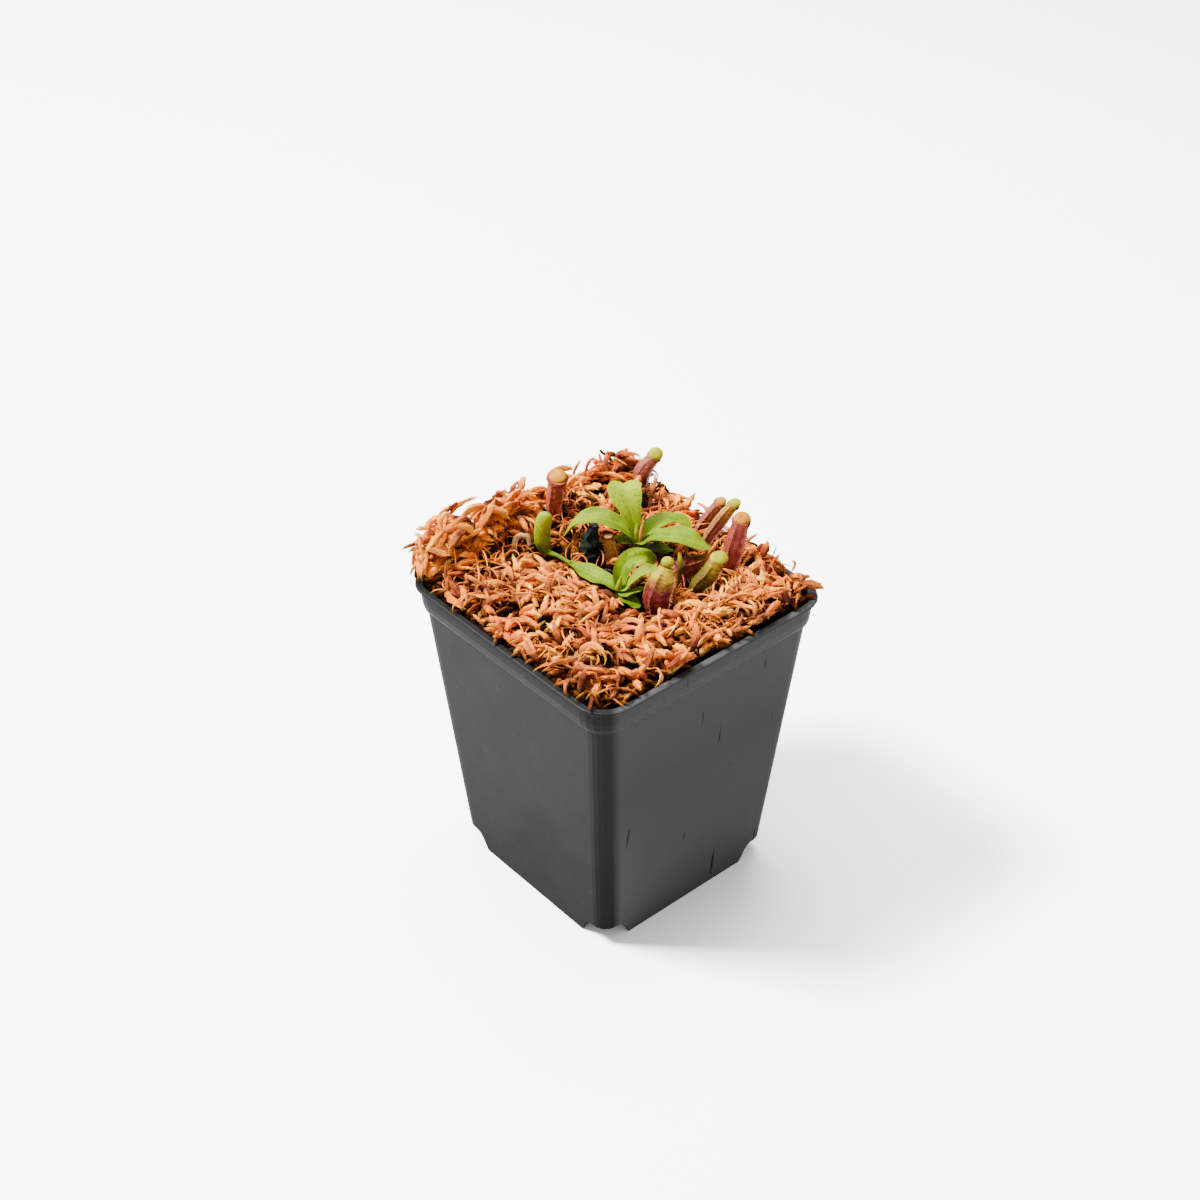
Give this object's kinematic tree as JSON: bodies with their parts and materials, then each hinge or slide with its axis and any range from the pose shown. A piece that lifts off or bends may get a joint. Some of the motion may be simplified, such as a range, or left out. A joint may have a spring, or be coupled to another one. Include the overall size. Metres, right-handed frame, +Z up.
{
  "type": "potted pitcher plant",
  "caption": "Young tropical pitcher plant with small pitchers, bedded in dried sphagnum moss in a square tapered black plastic nursery pot.",
  "frame": {"origin": "centre of the bottom of the bounding box: the middle of the pot's underside, to within a millimetre", "axes": "+Z up out of the moss; X and Y square to the pot's four flat sides, with the pot's nearest corner in the picture towards +X and -Y"},
  "size_m": [0.0922, 0.0921, 0.1282],
  "materials": {
    "pot": "satin black plastic, a little worn",
    "moss_rust": "dried moss, rust and orange",
    "moss_pale": "dried moss, pale cream",
    "leaf": "fresh yellow-green leaf, slightly glossy",
    "stem": "pale green stem",
    "pitcher_red": "dark crimson pitcher skin",
    "pitcher_tan": "tan and yellow pitcher skin",
    "pitcher_green": "yellow-green pitcher skin",
    "dead": "black withered growth",
    "dry": "dry tan leaf",
    "twig": "dark dry twig"
  },
  "bodies": {
    "root": {"curl_dry": "dry", "leaf_lower_arched": "leaf", "leaf_lower_folded": "leaf", "leaf_lower_left": "leaf", "leaf_lower_low": "leaf", "leaf_lower_right": "leaf", "leaf_upper_back": "leaf", "leaf_upper_front": "leaf", "leaf_upper_left": "leaf", "leaf_upper_low": "leaf", "leaf_upper_small": "leaf", "leaf_upper_upright": "leaf", "leaf_withered_dark": "twig", "leaf_withered_orange": "dry", "moss_bed": "moss_rust", "moss_pale_back": "moss_pale", "moss_pale_front": "moss_pale", "moss_pale_left": "moss_pale", "moss_pale_right": "moss_pale", "pitcher_back": "pitcher_red", "pitcher_back_left": "pitcher_red", "pitcher_front": "pitcher_red", "pitcher_green": "pitcher_green", "pitcher_maroon": "pitcher_red", "pitcher_right_rear": "pitcher_red", "pitcher_right_tall": "pitcher_red", "pitcher_right_tan": "pitcher_tan", "pitcher_withered": "pitcher_tan", "pot": "pot", "shoot_blackened": "dead", "stem_lower": "stem", "stem_upper": "stem", "stub_curled": "pitcher_green", "twig_back": "twig", "twig_left": "twig", "twig_middle": "twig"}
  },
  "joints": []
}
